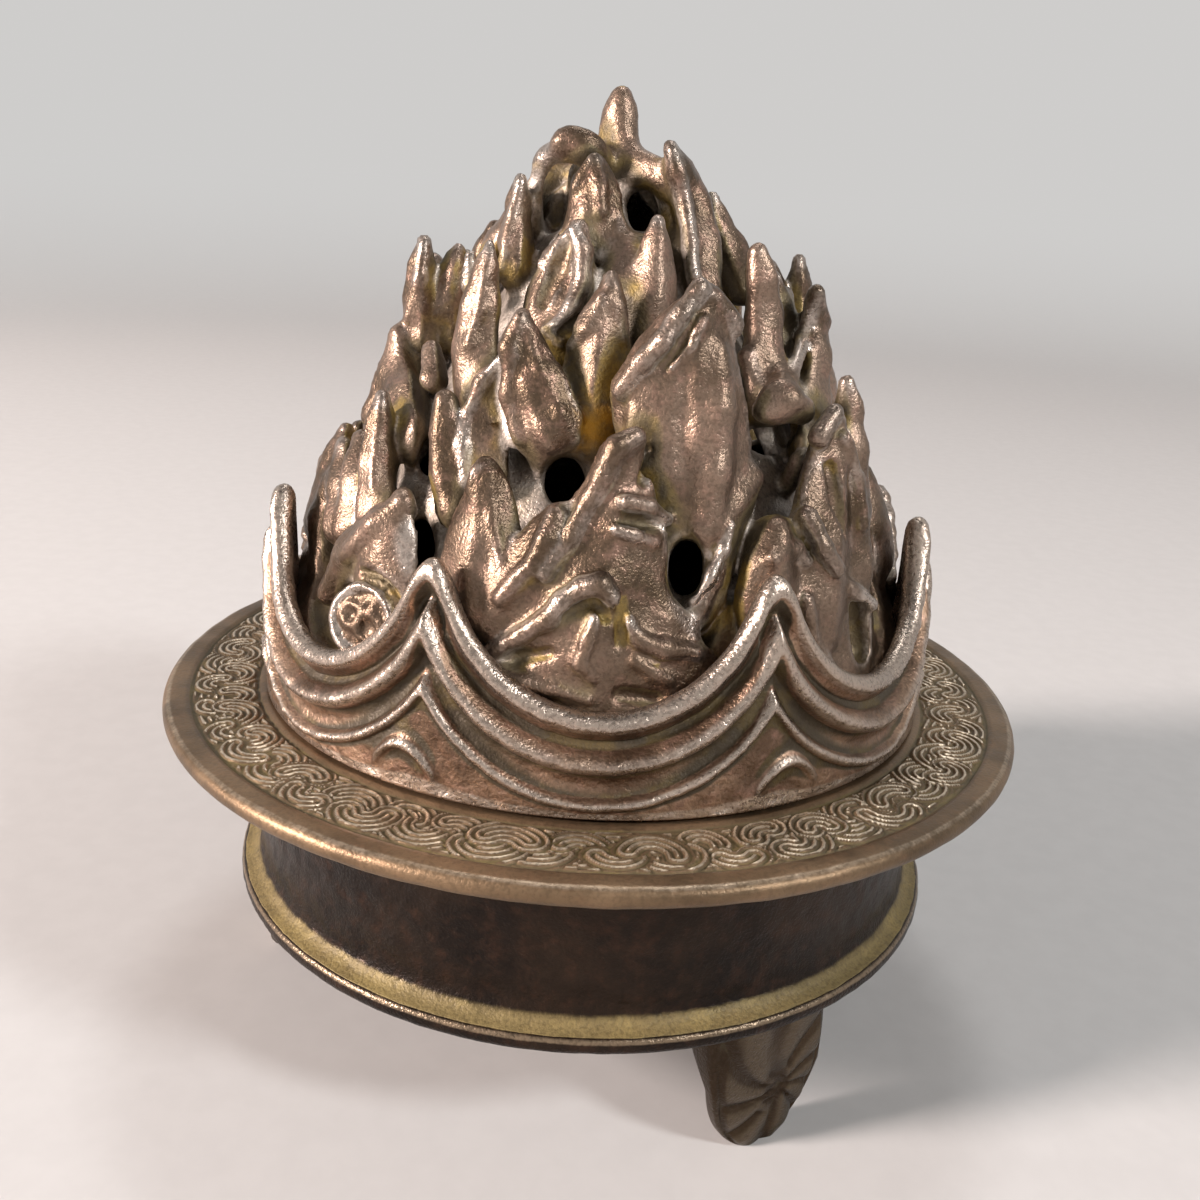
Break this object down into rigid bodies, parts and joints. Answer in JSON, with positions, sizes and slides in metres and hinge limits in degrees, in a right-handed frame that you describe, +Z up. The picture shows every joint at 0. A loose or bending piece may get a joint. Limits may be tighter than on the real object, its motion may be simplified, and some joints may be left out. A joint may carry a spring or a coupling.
{
  "type": "hill censer",
  "caption": "Bronze incense burner: footed bowl with a wide scroll-bordered tray rim under a lift-off pierced lid shaped as a peaked mountain rising from a band of waves.",
  "frame": {"origin": "on the bowl's axis, at the level of the soles of the three feet", "axes": "+Z up along the bowl's axis; -Y is the front of the picture, +X to the right of that view"},
  "size_m": [0.12, 0.12, 0.1276],
  "materials": {
    "lid_bronze": "brown patina, rubbed on the peaks",
    "bowl_bronze": "dark cast skin",
    "tray_bronze": "olive patina, worn edge",
    "foot_bronze": "brown patina"
  },
  "bodies": {
    "bowl": {"floor_plate": "tray_bronze", "bowl_wall": "bowl_bronze", "tray_rim": "tray_bronze", "foot_right": "foot_bronze", "foot_rear": "foot_bronze", "foot_left": "foot_bronze", "foot_rivets": "foot_bronze"},
    "lid": {"lid_shell": "lid_bronze", "lid_register": "lid_bronze", "wave_band": "lid_bronze", "medallion": "lid_bronze", "foothills": "lid_bronze", "low_peaks": "lid_bronze", "middle_peaks": "lid_bronze", "high_peaks": "lid_bronze", "top_peaks": "lid_bronze", "summit_peak": "lid_bronze"}
  },
  "joints": [
    {"name": "lid_lift", "type": "slide", "parent": "bowl", "child": "lid", "axis": [0, 0, 1], "range_m": [0, 0.12]}
  ]
}
